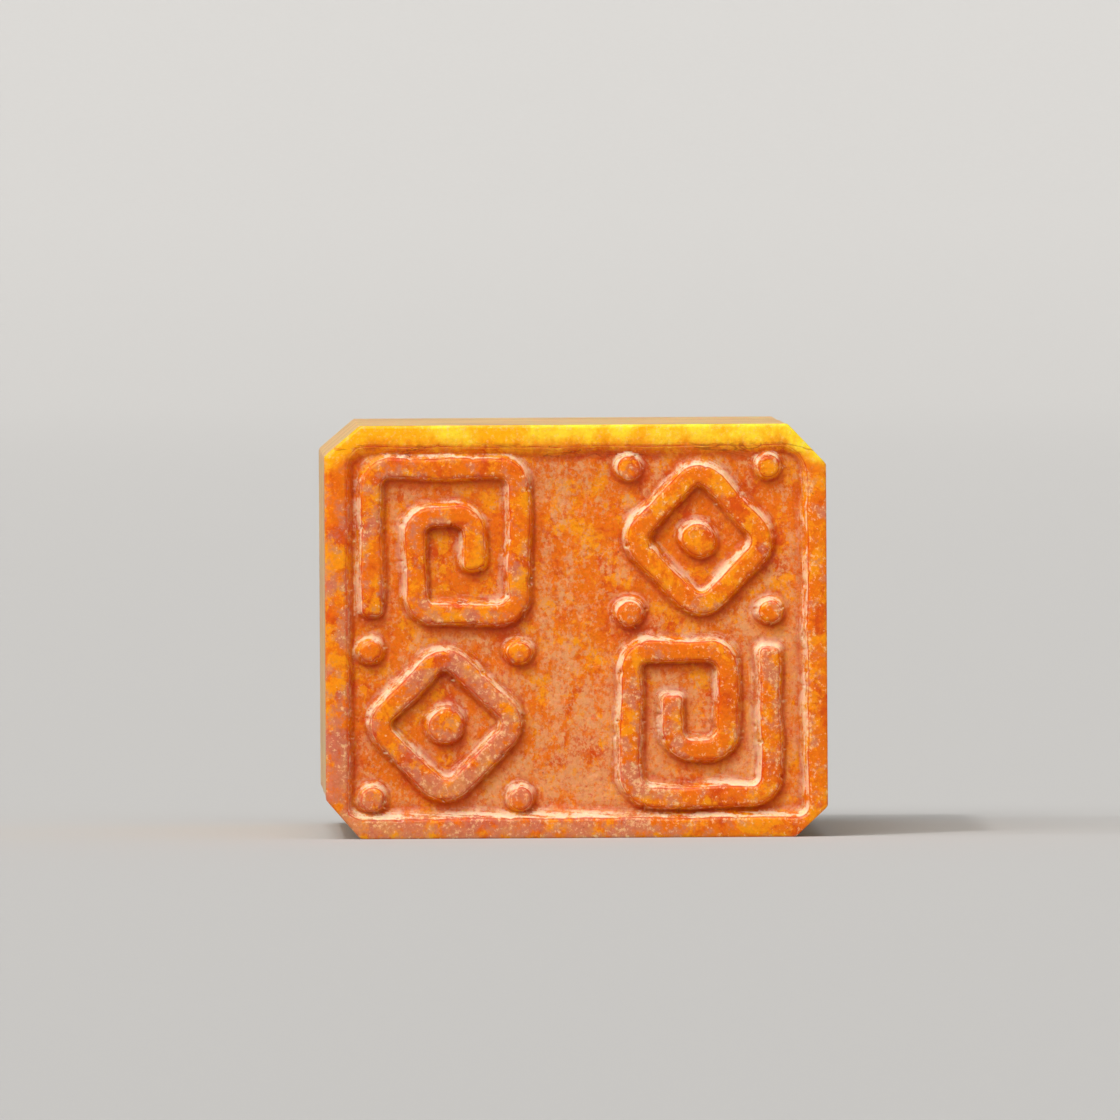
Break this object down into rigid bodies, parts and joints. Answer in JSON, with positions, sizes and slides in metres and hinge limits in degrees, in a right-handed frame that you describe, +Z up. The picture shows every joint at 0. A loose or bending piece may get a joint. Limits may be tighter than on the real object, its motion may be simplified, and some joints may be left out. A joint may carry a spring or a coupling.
{
  "type": "seal stamp",
  "caption": "Carved stone seal stamp lying on its side: a polished column with cut corners and a rimmed printing face with a raised ornament.",
  "frame": {"origin": "on the resting side, under the middle of the block", "axes": "+Z up from the resting side; the printing face looks along -Y and the head of the stone along +Y; +X is to the right of someone facing the printing face"},
  "size_m": [0.03, 0.055, 0.0247],
  "materials": {
    "amber_soapstone": "waxed polish on the sides and the printing surfaces, duller where the ground is cut"
  },
  "bodies": {
    "root": {"seal_stone": "amber_soapstone"}
  },
  "joints": []
}
